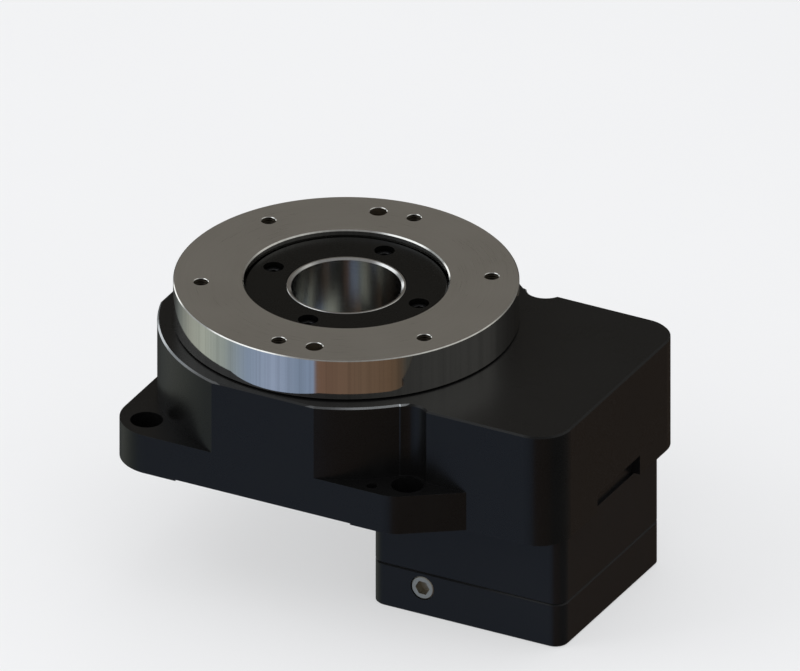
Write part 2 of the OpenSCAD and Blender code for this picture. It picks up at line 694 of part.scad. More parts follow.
// An open spring ring: a gap between two lugs on one side
module circlip(outer_r, inner_r, z, lug_r) difference() {
    union() {
        ring(outer_r, inner_r, z, z + circlip_t);
        for (a = [-12, 12]) rotate(a) translate([lug_r, 0, z]) cylinder(r = 1.6, h = circlip_t);
    }
    translate([0, -1.2, z - over]) cube([outer_r + 4, 2.4, circlip_t + 2 * over]);
    for (a = [-12, 12]) rotate(a)
        translate([lug_r, 0, z - over]) cylinder(r = 0.7, h = circlip_t + 2 * over);
}

module bore_circlip() color([0.25, 0.25, 0.26]) on_pinion_axis()
    circlip(race_bore_r + 0.8, race_bore_r - 1.2, circlip_z, race_bore_r - 2);

module shaft_circlip() color([0.25, 0.25, 0.26]) on_pinion_axis() difference() {
    ring(shaft_r + 1.2, shaft_r - 0.55, circlip_z, circlip_z + circlip_t);
    translate([0, -2, circlip_z - over]) cube([shaft_r + 4, 4, circlip_t + 2 * over]);
}

module shaft_seal() color([0.08, 0.08, 0.08]) on_pinion_axis()
    ring(race_bore_r, shaft_r + run_fit, seal_z, seal_z + seal_t);

// ---- the pinion shaft and its clamp ----

shaft_collar_r = shaft_r + 2;

module pinion_shaft() color([0.66, 0.67, 0.69]) on_pinion_axis() difference() {
    union() {
        translate([0, 0, gear_z - pinion_over]) rotate(180 / pinion_teeth + 180)
            linear_extrude(gear_face + 2 * pinion_over)
                toothed(pinion_teeth, pinion_pitch_r, pinion_root_r, pinion_tip_r, 5);
        hole(pinion_root_r - 0.5, gear_z, gear_z + gear_face + pinion_over + 1);
        hole(shaft_collar_r, upper_race_z + ball_bearing_w, gear_z - pinion_over);
        hole(shaft_r - seat_fit, shaft_bottom, gear_z);
    }
    hole(motor_shaft_d / 2, shaft_bottom - over, motor_bore_top);
    difference() {
        hole(shaft_r + over, circlip_z - 0.05, circlip_z + circlip_t + 0.05);
        hole(shaft_r - 0.6, circlip_z - over, circlip_z + circlip_t + over);
    }
    for (a = [0, 90]) rotate(a)
        translate([-shaft_r - over, -0.75, shaft_bottom - over])
            cube([2 * shaft_r + 2 * over, 1.5, collar_w + 2.5 + over]);
}

module clamp_collar() color([0.5, 0.5, 0.52]) on_pinion_axis() difference() {
    ring(collar_d / 2, shaft_r + seat_fit, collar_mid - collar_w / 2, collar_mid + collar_w / 2);
    translate([-collar_d / 2 - over, -collar_gap / 2, collar_mid - collar_w])
        cube([collar_d / 2, collar_gap, 2 * collar_w]);
    translate([-collar_screw_offset, 0, collar_mid]) rotate([90, 0, 0]) {
        hole(clear_r(collar_screw_d), 0, collar_d / 2);
        hole(recess_r(collar_screw_d), collar_screw_seat, collar_d);
        rotate([180, 0, 0]) hole(tap_r(collar_screw_d), 0, collar_d / 2);
    }
}

module collar_screw() color([0.2, 0.2, 0.2])
    translate([plug_x, -collar_screw_seat, collar_mid]) rotate([90, 0, 0])
        cap_screw(collar_screw_d, collar_screw_length);

housing();
core_hub();
hub_screws();
hub_o_ring();
core_tube();
clamp_ring();
clamp_ring_screws();
dust_seal();
bearing_inner_ring();
table();
output_gear();
gear_screws();
bearing_upper_ring();
bearing_lower_ring();
cross_rollers();
roller_spacers();
adapter_body();
adapter_body_screws();
adapter_o_ring();
adapter_plate();
adapter_plate_screws();
access_plug();
upper_outer_race();
lower_outer_race();
bore_circlip();
shaft_seal();
pinion_shaft();
upper_inner_race();
lower_inner_race();
race_spacer();
shaft_circlip();
clamp_collar();
collar_screw();
upper_balls();
lower_balls();
upper_cage();
lower_cage();
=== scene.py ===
# %% [markdown]
# # Dressing a hollow rotary platform
# A hollow rotary platform is a machine table that turns a load and leaves a free hole
# through its middle for cables and air lines. The solids come packed from the CAD source,
# so every size and place is already settled. This lesson gives them their finishes, adds
# the small machined details that the solids leave out, and lights them like a product.

# %% Load the packed solids
import json
import math

import bmesh
import bpy
from mathutils import Matrix, Vector


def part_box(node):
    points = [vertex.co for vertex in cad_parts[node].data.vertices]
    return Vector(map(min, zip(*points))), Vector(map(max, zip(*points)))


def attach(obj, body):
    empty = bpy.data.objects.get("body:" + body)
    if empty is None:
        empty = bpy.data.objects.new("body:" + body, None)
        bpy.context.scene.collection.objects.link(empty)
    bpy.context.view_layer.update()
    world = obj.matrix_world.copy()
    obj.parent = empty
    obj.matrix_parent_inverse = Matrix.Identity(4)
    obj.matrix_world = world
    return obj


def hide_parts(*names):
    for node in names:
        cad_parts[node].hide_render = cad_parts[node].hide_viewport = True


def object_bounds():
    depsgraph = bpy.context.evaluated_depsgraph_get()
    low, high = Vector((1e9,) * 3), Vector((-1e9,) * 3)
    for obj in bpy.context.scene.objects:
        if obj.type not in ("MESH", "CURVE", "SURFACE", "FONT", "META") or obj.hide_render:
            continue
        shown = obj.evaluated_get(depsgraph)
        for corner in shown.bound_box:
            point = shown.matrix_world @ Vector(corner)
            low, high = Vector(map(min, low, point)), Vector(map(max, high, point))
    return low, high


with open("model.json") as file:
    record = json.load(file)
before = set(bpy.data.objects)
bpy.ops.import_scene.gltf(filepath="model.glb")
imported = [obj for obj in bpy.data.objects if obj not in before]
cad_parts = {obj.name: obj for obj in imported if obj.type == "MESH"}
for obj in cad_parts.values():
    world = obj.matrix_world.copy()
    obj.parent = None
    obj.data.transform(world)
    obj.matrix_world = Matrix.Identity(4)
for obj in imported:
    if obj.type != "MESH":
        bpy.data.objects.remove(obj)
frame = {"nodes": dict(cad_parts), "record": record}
cad_box = [list(corner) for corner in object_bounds()]
nodes, record = frame["nodes"], frame["record"]
print("CAD box in mm:", [[round(1000 * v, 1) for v in corner] for corner in cad_box])

# %% [markdown]
# ## Measures
# Everything that is added later sits on something that the CAD already placed. The sizes
# could be typed again, but then they would drift from the source, so the boxes of the packed
# nodes give them wherever they can. Blender works in metres; one small constant keeps
# millimetres readable.

# %% Measures taken from the solids
MM = 0.001


def low_high(name):
    """The lowest and highest corners of a node, as two vectors."""
    low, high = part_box(name)
    return Vector(low), Vector(high)


def in_mm(numbers):
    return [round(n / MM, 2) for n in numbers]


table_low, table_high = low_high("table")
plate_low, plate_high = low_high("adapter_plate")
housing_top = low_high("housing")[1].z
pinion_x = (plate_low.x + plate_high.x) / 2
print("table top, housing top and pinion axis:", in_mm((table_high.z, housing_top, pinion_x)))

# %% [markdown]
# ## Writing shader maths as expressions
# A procedural finish is mostly arithmetic on a position in space. Wiring each Math node by
# hand hides the idea, so a small class wraps a socket, and Python's own operators add the
# nodes. One method adds any other node from its type, its settings and its inputs.

# %% A socket that does arithmetic


class Value:
    """An output socket of a node tree, with Python's operators on it."""

    def __init__(self, tree, socket):
        self.tree, self.socket = tree, socket

    def node(self, kind, inputs=(), out=0, stops=None, **settings):
        """Adds a node: its settings first, then the values or links of its inputs."""
        made = self.tree.nodes.new(kind)
        for name, value in settings.items():
            setattr(made, name, value)
        if stops:
            ramp = made.color_ramp
            while len(ramp.elements) < len(stops):
                ramp.elements.new(0.5)
            for element, (place, light) in zip(ramp.elements, stops):
                element.position = place
                element.color = (*light, 1)
        for key, value in dict(inputs).items():
            if isinstance(value, Value):
                self.tree.links.new(value.socket, made.inputs[key])
            else:
                made.inputs[key].default_value = value
        return Value(self.tree, made.outputs[out])

    def math(self, operation, *others):
        return self.node("ShaderNodeMath", dict(enumerate((self, *others))), operation=operation)

    def __add__(self, other):
        return self.math("ADD", other)

    def __sub__(self, other):
        return self.math("SUBTRACT", other)

    def __mul__(self, other):
        return self.math("MULTIPLY", other)

    def __truediv__(self, other):
        return self.math("DIVIDE", other)

    def __rsub__(self, other):
        return self.node("ShaderNodeMath", {0: other, 1: self}, operation="SUBTRACT")

    def __rtruediv__(self, other):
        return self.node("ShaderNodeMath", {0: other, 1: self}, operation="DIVIDE")

    __radd__ = __add__
    __rmul__ = __mul__

    def step(self, low, high):
        """0 below low, 1 above high, and smooth between."""
        return self.node(
            "ShaderNodeMapRange",
            {"Value": self, "From Min": low, "From Max": high},
            interpolation_type="SMOOTHSTEP",
        )

    def noise(self, scale, detail=2.0, roughness=0.5):
        return self.node(
            "ShaderNodeTexNoise",
            {"Vector": self, "Scale": scale, "Detail": detail, "Roughness": roughness},
        )

    def vector(self, operation, *others, out=0):
        return self.node(
            "ShaderNodeVectorMath",
            dict(enumerate((self, *others))),
            out=out,
            operation=operation,
        )

    def part(self, axis):
        return self.node("ShaderNodeSeparateXYZ", {0: self}, out="XYZ".index(axis))

    def mix(self, low, high):
        """A colour between low and high, by this value."""
        return self.node("ShaderNodeMix", {0: self, 6: low, 7: high}, out=2, data_type="RGBA")


print("a Value knows:", ", ".join(name for name in vars(Value) if name[0] != "_"))

# %% [markdown]
# ## Starting a finish
# Every finish begins with a material, the position on the piece, and the shader. A number
# that is the same all over goes straight on the shader's own socket, and only what changes
# over the surface is linked, because that is what an export can bake. Colours are written
# as they look on a screen, from 0 to 255, and turned into the linear values that light obeys.

# %% Colours


def colour(red, green, blue):
    """A screen colour from 0 to 255, as the linear values that Blender stores."""
    return tuple(
        c / 12.92 if c <= 0.04045 else ((c + 0.055) / 1.055) ** 2.4
        for c in (red / 255, green / 255, blue / 255)
    ) + (1.0,)


def shade(tone, share):
    """The same colour, darker below a share of 1 and lighter above it."""
    return tuple(min(1.0, share * c) for c in tone[:3]) + (1.0,)


print("middle grey on a screen is stored as", round(colour(128, 128, 128)[0], 3))

# %% A new finish


def new_finish(name, **constants):
    """A material, its position value and its shader; constants go straight on the shader."""
    material = bpy.data.materials.new(name)
    material.use_nodes = True
    tree = material.node_tree
    shader = tree.nodes["Principled BSDF"]
    for key, value in constants.items():
        shader.inputs[key.replace("_", " ")].default_value = value
    place = Value(tree, tree.nodes.new("ShaderNodeTexCoord").outputs["Object"])
    return material, place, shader


def feed(shader, **values):
    """Links what changes over the surface."""
    for key, value in values.items():
        shader.id_data.links.new(value.socket, shader.inputs[key.replace("_", " ")])


def bump(place, height, strength, distance):
    """A normal for a surface that stands up by the height, at most by the distance."""
    return place.node(
        "ShaderNodeBump", {"Strength": strength, "Distance": distance, "Height": height}
    )


print("materials before the first finish:", [m.name for m in bpy.data.materials])

# %% [markdown]
# ## Finding worn edges
# Sharp edges lose their finish first. They could be painted by hand, but the solids may
# change. A Bevel node gives the normal that a rounded edge would have; where it differs from
# the true one there is an edge, whatever the mesh is like.

# %% A mask for sharp edges
HOUSING_WEAR, SCREW_WEAR = 0.25 * MM, 0.15 * MM


def edge_mask(place, radius):
    """1 on sharp edges within radius, 0 on open faces."""
    rounded = place.node("ShaderNodeBevel", {"Radius": radius}, samples=6)
    true = place.node("ShaderNodeNewGeometry", out="True Normal")
    return (1.0 - rounded.vector("DOT_PRODUCT", true, out="Value")).step(0.01, 0.25)


print("worn width in mm, on the housing and on screws:", in_mm((HOUSING_WEAR, SCREW_WEAR)))

# %% [markdown]
# ## A painted highlight on the round body's rim
# The round body's upper rim is broken with a small chamfer. It catches the light at 45
# degrees, and a light, metallic colour is painted on it as a highlight, the brightest line
# on the housing. Its faces could get a second material, but a packed solid's mesh is left
# alone, so the finish finds them: they tilt at 45 degrees, and they lie near the rim in
# radius and in height. Where the rim runs out into the straight front and back, the painted
# line fades.

# %% Measure the rim
NEAR_TOP, LEFT_SIDE = housing_top - 3 * MM, -30 * MM  # well away from the gearbox
rim_points = [
    v.co for v in nodes["housing"].data.vertices if v.co.z > NEAR_TOP and v.co.x < LEFT_SIDE
]
RIM = max(math.hypot(p.x, p.y) for p in rim_points)
print("round body's radius at its rim:", round(RIM / MM, 2), "mm")

# %% A mask for the painted highlight on the rim's chamfer
FADE = 0.1 * MM
RUNS_OUT, RUN_OUT_SHARE = (43 * MM, 51 * MM), 0.85
TILTED, LEVEL = (0.45, 0.6), (0.8, 0.92)  # a 45 degree face's normal rises by 0.71


def painted_rim_highlight(place):
    """Where a highlight is painted: 1 on the chamfer along the round body's rim, 0 elsewhere."""
    x, y, z = (place.part(a) for a in "XYZ")
    radius = (x * x + y * y).math("SQRT")
    inner, outer, lower = RIM - 0.8 * MM, RIM + 0.3 * MM, housing_top - 1.1 * MM
    near = radius.step(inner - FADE, inner + FADE)
    near = near * (1.0 - radius.step(outer - FADE, outer + FADE))
    near = near * z.step(lower - FADE, lower + FADE)
    near = near * (1.0 - y.math("ABSOLUTE").step(*RUNS_OUT) * RUN_OUT_SHARE)
    rise = place.node("ShaderNodeNewGeometry", out="Normal").part("Z")
    return rise.step(*TILTED) * (1.0 - rise.step(*LEVEL)) * near


print("the bright line fades between", in_mm(RUNS_OUT), "mm from the middle")

# %% [markdown]
# ## Black anodised aluminium
# The housing, the adapter and the fixed centre are milled from aluminium, blasted and then
# anodised black. A flat black would look like plastic. The real skin is nearly black, with a
# fine blasted grain, a soft sheen, clouds of slightly different dye, and worn edges that hold
# less of it. Two scales of noise give the clouds and the grain, in colour, gloss and height.

# %% The anodised finish


def anodised(name, tone, grain=1.0, sheen=0.34, gloss=0.26):
    material, place, shader = new_finish(name, Specular_IOR_Level=gloss)
    clouds = place.noise(scale=60.0, detail=3.0)
    speckle = place.noise(scale=5200.0, detail=1.0)
    worn = edge_mask(place, HOUSING_WEAR)
    rubbed = worn * place.noise(scale=900.0).step(0.35, 0.65)
    # A painted highlight: the rim's chamfer gets a light grey, metallic colour.
    rim_highlight = painted_rim_highlight(place)
    skin = (clouds * 0.6 + speckle * 0.4).mix(shade(tone, 0.72), shade(tone, 1.3))
    skin = (rubbed * 0.25).mix(skin, colour(70, 71, 73))
    rough = clouds * 0.12 + speckle * 0.08 + (sheen - 0.1)
    # On the rim's chamfer the painted highlight is light grey, nearly metal, and glossier.
    feed(
        shader,
        Base_Color=rim_highlight.mix(skin, colour(165, 168, 170)),
        Metallic=rim_highlight * 0.9,
        Roughness=rough - worn * 0.04 - rim_highlight * 0.14,
        Normal=bump(place, speckle, strength=0.10 * grain, distance=0.04 * MM),
    )
    return material


black_housing = anodised("black_anodised_housing", colour(13, 13, 13), sheen=0.29)
black_adapter = anodised("black_anodised_adapter", colour(16, 16, 17), grain=0.8)
black_hub = anodised("black_anodised_hub", colour(15, 15, 15))
black_ring = anodised("black_anodised_ring", colour(6, 6, 5), sheen=0.28, gloss=0.2)
blacks = (black_housing, black_adapter, black_hub, black_ring)
print("anodised finishes:", [finish.name for finish in blacks])

# %% [markdown]
# ## Turned and ground steel
# The table is hardened steel. Its side is turned to a near mirror, and its top is ground
# satin, so the two need different roughness from one finish, and the face's own direction
# tells them apart. Grinding leaves fine rings about the axis. They could be cut into the
# mesh, but they are far too fine; noise that is read by radius and height gives such rings.

# %% Rings, and streaks for painted reflections, about an axis
GROUND, BORED = 9000.0, 5000.0  # rings to a metre


def rings(place, per_metre, detail=2.0, around=3.0):
    """Fine rings about the Z axis, which break up slowly round the circle."""
    x, y, z = (place.part(a) for a in "XYZ")
    radius = (x * x + y * y).math("SQRT")
    angle = y.math("ARCTAN2", x)
    at = place.node(
        "ShaderNodeCombineXYZ", {0: radius * per_metre, 1: z * per_metre, 2: angle * around}
    )
    return at.noise(scale=1.0, detail=detail)


def upright_reflection_streaks(place, scale):
    """Streaks for painted reflections that run straight up a turned side: noise by the direction
    from the axis.
    """
    outward = place.vector("MULTIPLY", (1, 1, 0)).vector("NORMALIZE")
    return outward.noise(scale, detail=4.0, roughness=0.7)


print("rings in mm, on ground and on bored steel:", in_mm((1 / GROUND, 1 / BORED)))

# %% The steel finish


def steel(name, tone, flat, side, lines=GROUND, centre=(0, 0, 0), reflection_streaks=0.0):
    """Metal with rings about a centre; flat and side are the roughness of its faces."""
    material, place, shader = new_finish(name, Metallic=1.0)
    if any(centre):
        place = place.vector("SUBTRACT", centre)
    rise = place.node("ShaderNodeNewGeometry", out="Normal").part("Z")
    level = rise.math("ABSOLUTE").step(0.9, 0.98)
    fine = rings(place, lines)
    broad = rings(place, lines / 14, detail=1.0, around=1.2)
    stain = place.noise(scale=45.0, detail=3.0)
    base = (fine * 0.55 + stain * 0.45).mix(shade(tone, 0.86), shade(tone, 1.12))
    # Painted reflections: darker streaks run straight up the side, as a mirror would show its
    # surroundings.
    if reflection_streaks:
        painted_reflection = (1.0 - level) * upright_reflection_streaks(place, 22.0).step(0.42, 0.66) * reflection_streaks
        base = painted_reflection.mix(base, shade(tone, 0.55))
    rough = level * (flat - side) + side
    feed(
        shader,
        Base_Color=base,
        Roughness=rough + (fine - 0.5) * 0.10 + (stain - 0.5) * 0.05,
        Normal=bump(place, fine * level + broad * 0.15, strength=0.06, distance=0.02 * MM),
    )
    return material


table_steel = steel("ground_table_steel", colour(223, 221, 216), flat=0.3, side=0.07, reflection_streaks=0.35)
bright_tube = steel(
    "bright_tube", colour(212, 211, 209), flat=0.24, side=0.15, lines=BORED, reflection_streaks=0.25
)
drilled_steel = steel("drilled_hole_steel", colour(56, 51, 44), flat=0.45, side=0.42)
reamed_steel = steel("reamed_hole_steel", colour(172, 162, 146), flat=0.45, side=0.4)
plug_steel = steel("bright_plug", colour(186, 180, 166), flat=0.5, side=0.5)
print("steel on the outside:", [m.name for m in (table_steel, bright_tube, plug_steel)])

# %% [markdown]
# ## Metal inside the drive
# What turns inside shows only when the housing is taken off, and it gets the same care: ground
# bearing rings, hobbed gear teeth, polished races and brass cages. Each is the steel finish
# with another tone and gloss. What sits on the pinion has its rings about the pinion's axis.

# %% The metals of the gears and bearings
GREY = colour(150, 152, 156)
on_pinion = (pinion_x, 0, 0)
ring_steel = steel("bearing_steel", colour(196, 197, 200), flat=0.16, side=0.12)
race_steel = steel(
    "ball_race_steel", colour(198, 199, 202), flat=0.15, side=0.1, centre=on_pinion
)
gear_steel = steel("hobbed_gear_steel", GREY, flat=0.28, side=0.3)
shaft_steel = steel("pinion_shaft_steel", GREY, flat=0.26, side=0.22, centre=on_pinion)
collar_steel = steel(
    "clamp_collar_steel", colour(92, 92, 95), flat=0.34, side=0.3, centre=on_pinion
)
brass = steel("brass_cage", colour(190, 158, 96), flat=0.3, side=0.25, centre=on_pinion)
inner_metals = (ring_steel, race_steel, gear_steel, shaft_steel, collar_steel, brass)
print("metals inside:", [finish.name for finish in inner_metals])

# %% [markdown]
# ## Screws, spring steel, rubber and resin
# The screws are blackened steel with a thin oil film, the circlips are blued spring steel,
# the seals are moulded rubber with a dull skin, and the roller spacers are cream resin. One
# shared finish would make them look alike, so each has a short one of its own.

# %% Blackened and blued steel


def blackened(name, tone, rough):
    material, place, shader = new_finish(name, Metallic=0.75)
    blotches = place.noise(scale=700.0, detail=3.0)
    worn = edge_mask(place, SCREW_WEAR)
    skin = blotches.mix(shade(tone, 0.7), shade(tone, 1.35))
    feed(
        shader,
        Base_Color=(worn * 0.5).mix(skin, colour(120, 118, 114)),
        Roughness=blotches * 0.18 + (rough - 0.09),
        Normal=bump(place, place.noise(scale=4200.0), strength=0.08, distance=0.03 * MM),
    )
    return material


black_screw = blackened("blackened_screw_steel", colour(28, 28, 29), rough=0.38)
spring_steel = blackened("blued_spring_steel", colour(52, 54, 62), rough=0.3)
print("dark steels:", black_screw.name, spring_steel.name)

# %% Rubber and resin


def rubber(name):
    material, place, shader = new_finish(name, Specular_IOR_Level=0.3)
    skin = place.noise(scale=2600.0, detail=3.0)
    feed(
        shader,
        Base_Color=skin.mix(colour(20, 20, 21), colour(38, 38, 39)),
        Roughness=skin * 0.2 + 0.6,
        Normal=bump(place, skin, strength=0.15, distance=0.04 * MM),
    )
    return material


def resin(name):
    material, place, shader = new_finish(name, Subsurface_Weight=0.05)
    flow = place.vector("MULTIPLY", (1, 1, 4)).noise(scale=500.0, detail=3.0)
    feed(
        shader,
        Base_Color=flow.mix(colour(214, 205, 168), colour(232, 226, 196)),
        Roughness=flow * 0.15 + 0.35,
        Normal=bump(place, flow, strength=0.1, distance=0.04 * MM),
    )
    return material


seal_rubber = rubber("seal_rubber")
spacer_resin = resin("spacer_resin")
print("soft parts:", seal_rubber.name, spacer_resin.name)

# %% [markdown]
# ## Giving each solid its finish
# A packed solid keeps its mesh, and only the material in its slot is changed. One table says
# which pieces share a finish, which is easier to check than an assignment for each piece.

# %% Assign the finishes
FINISH = {
    black_housing: ["housing"],
    black_hub: ["core_hub"],
    black_ring: ["clamp_ring"],
    black_adapter: ["adapter_body", "adapter_plate"],
    table_steel: ["table"],
    bright_tube: ["core_tube"],
    plug_steel: ["access_plug"],
    gear_steel: ["output_gear"],
    shaft_steel: ["pinion_shaft", "race_spacer"],
    collar_steel: ["clamp_collar"],
    ring_steel: ["bearing_inner_ring", "bearing_upper_ring", "bearing_lower_ring", "cross_rollers"],
    race_steel: [
        f"{level}_{part}"
        for level in ("upper", "lower")
        for part in ("outer_race", "inner_race", "balls")
    ],
    brass: ["upper_cage", "lower_cage"],
    spacer_resin: ["roller_spacers"],
    black_screw: [
        "hub_screws", "clamp_ring_screws", "gear_screws", "adapter_body_screws",
        "adapter_plate_screws", "collar_screw",
    ],
    spring_steel: ["bore_circlip", "shaft_circlip"],
    seal_rubber: ["hub_o_ring", "adapter_o_ring", "dust_seal", "shaft_seal"],
}
for material, wearers in FINISH.items():
    for name in wearers:
        slots = nodes[name].data.materials
        slots.clear()
        slots.append(material)
print("finished", sum(map(len, FINISH.values())), "of", len(nodes), "solids")

# %% [markdown]
# ## Recipes with named sizes
# Screws, tapped holes and the table are all turned: one outline taken round an axis. That is
# a rule, so Geometry Nodes can grow it. A modelled mesh would do as well for one screw, but
# not for five kinds of them. A recipe is a tree whose sizes are named inputs, and the class
# keeps each input's identifier, because a modifier is set by that and not by the name.

# %% A recipe of geometry nodes


class Recipe:
    """A Geometry Nodes tree with a named input for each of its sizes."""

    def __init__(self, name, **sizes):
        self.tree = bpy.data.node_groups.new(name, "GeometryNodeTree")
        panel = self.tree.interface
        panel.new_socket("Geometry", in_out="OUTPUT", socket_type="NodeSocketGeometry")
        panel.new_socket("Geometry", in_out="INPUT", socket_type="NodeSocketGeometry")
        self.identifier = {}
        for label, size in sizes.items():
            kind = "NodeSocketInt" if isinstance(size, int) else "NodeSocketFloat"
            made = panel.new_socket(label.replace("_", " "), in_out="INPUT", socket_type=kind)
            made.default_value = size
            self.identifier[label] = made.identifier
        self.entry = self.tree.nodes.new("NodeGroupInput")

    def __getitem__(self, label):
        return Value(self.tree, self.entry.outputs[label.replace("_", " ")])

    def add(self, kind, inputs=(), out=0, **settings):
        return self["Geometry"].node(kind, inputs, out, **settings)

    def choose(self, index, choices):
        """The choice that stands at the place given by index."""
        switch = self.tree.nodes.new("GeometryNodeIndexSwitch")
        switch.data_type = "FLOAT"
        while len(switch.index_switch_items) < len(choices):
            switch.index_switch_items.new()
        self.tree.links.new(index.socket, switch.inputs[0])
        for slot, choice in zip(list(switch.inputs)[1:], choices):
            if isinstance(choice, Value):
                self.tree.links.new(choice.socket, slot)
            else:
                slot.default_value = choice
        return Value(self.tree, switch.outputs[0])

    def finish(self, geometry):
        end = self.tree.nodes.new("NodeGroupOutput")
        self.tree.links.new(geometry.socket, end.inputs["Geometry"])


print("a recipe can:", ", ".join(name for name in vars(Recipe) if name[0] != "_"))

# %% [markdown]
# ## Bending a grid into a turned skin
# A lathe could be copied by revolving a curve, but then each row would need a point in the
# curve, and a thread has many. Instead a flat grid is bent: its rows become the outline, its
# columns go round the axis, and a formula gives the radius and height of every row. The
# seam and the two poles are welded, so the skin closes and can be used to cut another.

# %% Turn an outline round the axis
WELD = 0.001 * MM


def turned(recipe, rows, sides, outline):
    """A closed skin; outline gives the radius and the height from a row and an angle."""
    grid = recipe.add(
        "GeometryNodeMeshGrid",
        {"Size X": 1.0, "Size Y": 1.0, "Vertices X": rows, "Vertices Y": sides + 1},
    )
    at = recipe.add("GeometryNodeInputPosition")
    row = (at.part("X") + 0.5) * (rows - 1)
    row = row.node("FunctionNodeFloatToInt", {0: row}, rounding_mode="ROUND")
    angle = (at.part("Y") + 0.5) * (2 * math.pi)
    radius, height = outline(row, angle)
    place = row.node(
        "ShaderNodeCombineXYZ",
        {0: angle.math("COSINE") * radius, 1: angle.math("SINE") * radius, 2: height},
    )
    bent = recipe.add("GeometryNodeSetPosition", {"Geometry": grid, "Position": place})
    return recipe.add("GeometryNodeMergeByDistance", {"Geometry": bent, "Distance": WELD})


print("points closer than", WELD / MM, "mm are welded")

# %% Place and dress a shape


def at_points(recipe, points, shape, turned_over=0.0):
    """The shape at each point, turned over by the given angle about X."""
    lean = recipe.add("ShaderNodeCombineXYZ", {0: turned_over})
    return recipe.add(
        "GeometryNodeInstanceOnPoints", {"Points": points, "Instance": shape, "Rotation": lean}
    )


def dress(recipe, geometry, material, chosen=True):
    """Real geometry, with a material on its chosen faces."""
    real = recipe.add("GeometryNodeRealizeInstances", {"Geometry": geometry})
    return recipe.add(
        "GeometryNodeSetMaterial", {"Geometry": real, "Selection": chosen, "Material": material}
    )


print("finishes to choose from:", len(bpy.data.materials))

# %% [markdown]
# ## Keeping the result
# A live recipe could stay on its object, but an exported file holds plain meshes only. So the
# recipe is run once, its result is kept, and the modifier goes. The new piece then rides on
# the same body as the solid that it stands for, and takes over that solid's place.

# %% Grow a piece and mount it
body_of_node = {n: body for body, names in record["behaviour"]["bodies"].items() for n in names}


def grow(recipe, name, points, replaced, sharp=32.0, **sizes):
    """Runs a recipe on some points, keeps the result as a plain mesh, and mounts it."""
    mesh = bpy.data.meshes.new(name + "_points")
    mesh.from_pydata(points, [], [])
    made = bpy.data.objects.new(name, mesh)
    bpy.context.scene.collection.objects.link(made)
    modifier = made.modifiers.new("recipe", "NODES")
    modifier.node_group = recipe.tree
    for label, size in sizes.items():
        modifier[recipe.identifier[label]] = size
    evaluated = made.evaluated_get(bpy.context.evaluated_depsgraph_get())
    plain = bpy.data.meshes.new_from_object(evaluated)
    made.modifiers.remove(modifier)
    made.data = plain
    plain.name = name
    plain.polygons.foreach_set("use_smooth", [True] * len(plain.polygons))
    plain.set_sharp_from_angle(angle=math.radians(sharp))
    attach(made, body_of_node[replaced])
    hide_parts(replaced)
    print(name, "has", len(plain.polygons), "faces on", body_of_node[replaced])
    return made


# %% [markdown]
# ## Socket head screws
# A socket head screw is a round head with a hex socket, a chamfered rim and fine grip lines,
# over a threaded shank. The six-sided socket comes from one formula: the distance to the
# side of a hexagon at a given angle. The thread is drawn as rings at the real pitch, which
# looks the same as a helix at this size and closes without a seam.

# %% The screw's sizes
screw = Recipe(
    "socket_head_screw",
    Head_radius=2.75 * MM,
    Head_height=3.0 * MM,
    Shank_radius=1.5 * MM,
    Shank_length=8.0 * MM,
    Socket_width=2.4 * MM,
    Socket_depth=1.6 * MM,
    Thread_depth=0.2 * MM,
    Turns=12,
    Turned_over=0.0,
    Sides=36,
)
print("a screw has", len(screw.identifier), "sizes")

# %% The screw's head
GRIP_DEPTH = 0.06 * MM
SIXTH = math.pi / 3
HEAD_ROWS = 13


def screw_head(row, angle):
    """From the socket's floor up its wall, over the rim, down the side and back to the axis."""
    head_r, head_h, wide = screw["Head_radius"], screw["Head_height"], screw["Socket_width"]
    off_middle = ((angle / SIXTH).math("FRACT") - 0.5) * SIXTH
    flat = (wide / 2) / off_middle.math("COSINE")
    corner = wide / (2 * math.cos(SIXTH / 2))
    floor = head_h - screw["Socket_depth"]
    lip = wide * 0.05
    rim = screw["Shank_radius"] * 0.3
    groove = (angle * (screw["Sides"] / (2 * math.pi))).math("ROUND").math("MODULO", 2.0)
    held = head_r - groove * GRIP_DEPTH
    rows = [
        (0.0, floor - lip),
        (flat * 0.9, floor),
        (flat, floor + lip),
        (flat, head_h - lip * 2),
        (corner + lip, head_h),
        (head_r - rim, head_h),
        (head_r - rim * 0.3, head_h - rim * 0.3),
        (head_r, head_h - rim),
        (held, head_h - rim * 1.2),
        (held, rim),
        (head_r, rim * 0.7),
        (head_r - rim * 0.2, 0.0),
        (0.0, 0.0),
    ]
    return [screw.choose(row, column) for column in zip(*rows)]


head = turned(screw, HEAD_ROWS, screw["Sides"], screw_head)
print("head:", HEAD_ROWS, "rows")

# %% The screw's shank


def screw_shank(row, angle):
    """Each turn is a crest and a valley; the first and last rows close on the axis."""
    last = screw["Turns"] * 2 + 2
    open_row = 1.0 - row.math("COMPARE", 0.0, 0.5) - row.math("COMPARE", last, 0.5)
    valley = (row + 1).math("MODULO", 2.0) * screw["Thread_depth"]
    step = screw["Shank_length"] / (last - 1)
    return (screw["Shank_radius"] - valley) * open_row, (1 - row) * step


shank = turned(screw, screw["Turns"] * 2 + 3, screw["Sides"], screw_shank)
whole = screw.add("GeometryNodeJoinGeometry", {"Geometry": head})
screw.tree.links.new(shank.socket, whole.socket.node.inputs["Geometry"])
placed = at_points(screw, screw["Geometry"], whole, screw["Turned_over"])
screw.finish(dress(screw, placed, black_screw))
print("screw recipe:", len(screw.tree.nodes), "nodes")

# %% [markdown]
# ## One point for each screw
# A node such as the hub's screws holds several solids in one mesh. Where each one sits could
# be typed again, but the mesh knows it: a walk along the edges from any corner reaches
# exactly one solid, and its box gives the screw's axis, its seat and its length.

# %% The separate solids of a node


